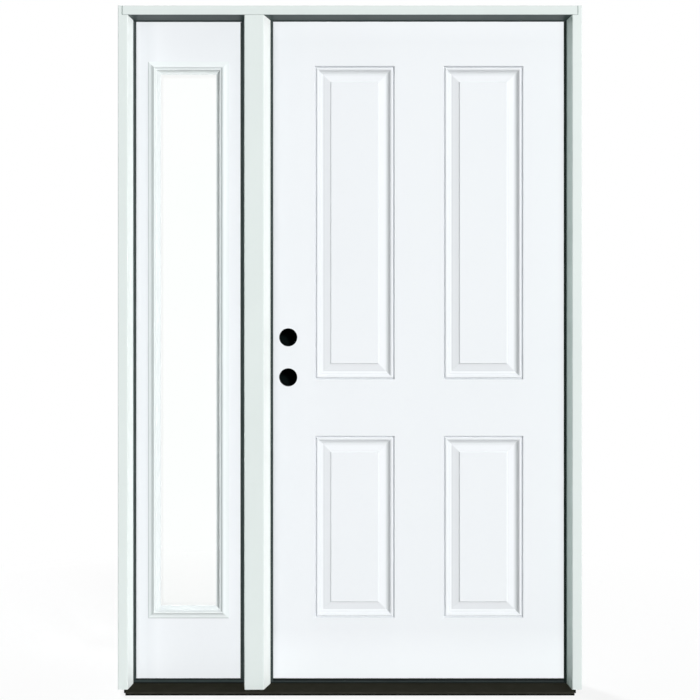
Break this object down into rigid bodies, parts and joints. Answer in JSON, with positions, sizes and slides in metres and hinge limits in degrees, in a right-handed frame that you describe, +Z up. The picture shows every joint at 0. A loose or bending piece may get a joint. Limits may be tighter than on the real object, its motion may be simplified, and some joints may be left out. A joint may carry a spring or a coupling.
{
  "type": "entrance door unit with one sidelight",
  "caption": "Inward-opening panelled entrance door in a frame with a glazed sidelight beside it, on a dark sill, bored for a lock and a deadbolt.",
  "frame": {"origin": "on the underside of the sill, midway along the unit's width, below the jambs' outer face", "axes": "+X to the right seen from outside, +Y inwards through the doorway, +Z up"},
  "size_m": [1.3702, 0.1565, 2.0293],
  "materials": {
    "frame_paint": "satin",
    "panel_paint": "satin",
    "lite_plastic": "satin",
    "clear_glass": "polished",
    "spacer_metal": "satin",
    "edge_timber": "matte",
    "core_foam": "matte",
    "seal_rubber": "matte",
    "sill_metal": "satin",
    "sill_composite": "matte",
    "hinge_steel": "satin",
    "cover_plastic": "matte"
  },
  "bodies": {
    "frame": {"door_head_seal": "seal_rubber", "door_threshold_cap": "sill_composite", "glass_exterior_pane": "clear_glass", "glass_interior_pane": "clear_glass", "glass_spacer": "spacer_metal", "head_jamb": "frame_paint", "hinge_jamb": "frame_paint", "hinge_side_seal": "seal_rubber", "latch_side_seal": "seal_rubber", "left_jamb": "frame_paint", "lite_frame_exterior": "lite_plastic", "lite_frame_interior": "lite_plastic", "lower_hinge_frame_plate": "hinge_steel", "lower_hinge_pin": "hinge_steel", "middle_hinge_frame_plate": "hinge_steel", "middle_hinge_pin": "hinge_steel", "mullion_post": "frame_paint", "sidelight_bottom_rail": "edge_timber", "sidelight_exterior_skin": "panel_paint", "sidelight_head_gasket": "seal_rubber", "sidelight_interior_skin": "panel_paint", "sidelight_left_gasket": "seal_rubber", "sidelight_left_stile": "edge_timber", "sidelight_right_gasket": "seal_rubber", "sidelight_right_stile": "edge_timber", "sidelight_threshold_cap": "sill_composite", "sidelight_top_rail": "edge_timber", "sill_base": "sill_composite", "sill_deck": "sill_metal", "upper_hinge_frame_plate": "hinge_steel", "upper_hinge_pin": "hinge_steel"},
    "door_leaf": {"bore_covers": "cover_plastic", "door_sweep": "seal_rubber", "leaf_bottom_rail": "edge_timber", "leaf_exterior_skin": "panel_paint", "leaf_foam_core": "core_foam", "leaf_hinge_stile": "edge_timber", "leaf_interior_skin": "panel_paint", "leaf_lock_block": "edge_timber", "leaf_lock_stile": "edge_timber", "leaf_top_rail": "edge_timber", "lower_hinge_leaf_plate": "hinge_steel", "middle_hinge_leaf_plate": "hinge_steel", "upper_hinge_leaf_plate": "hinge_steel"}
  },
  "joints": [
    {"name": "door_swing", "type": "hinge", "parent": "frame", "child": "door_leaf", "pos_m": [0.6643, 0.123, 1.0165], "axis": [0, 0, -1], "range_deg": [0, 170]}
  ]
}
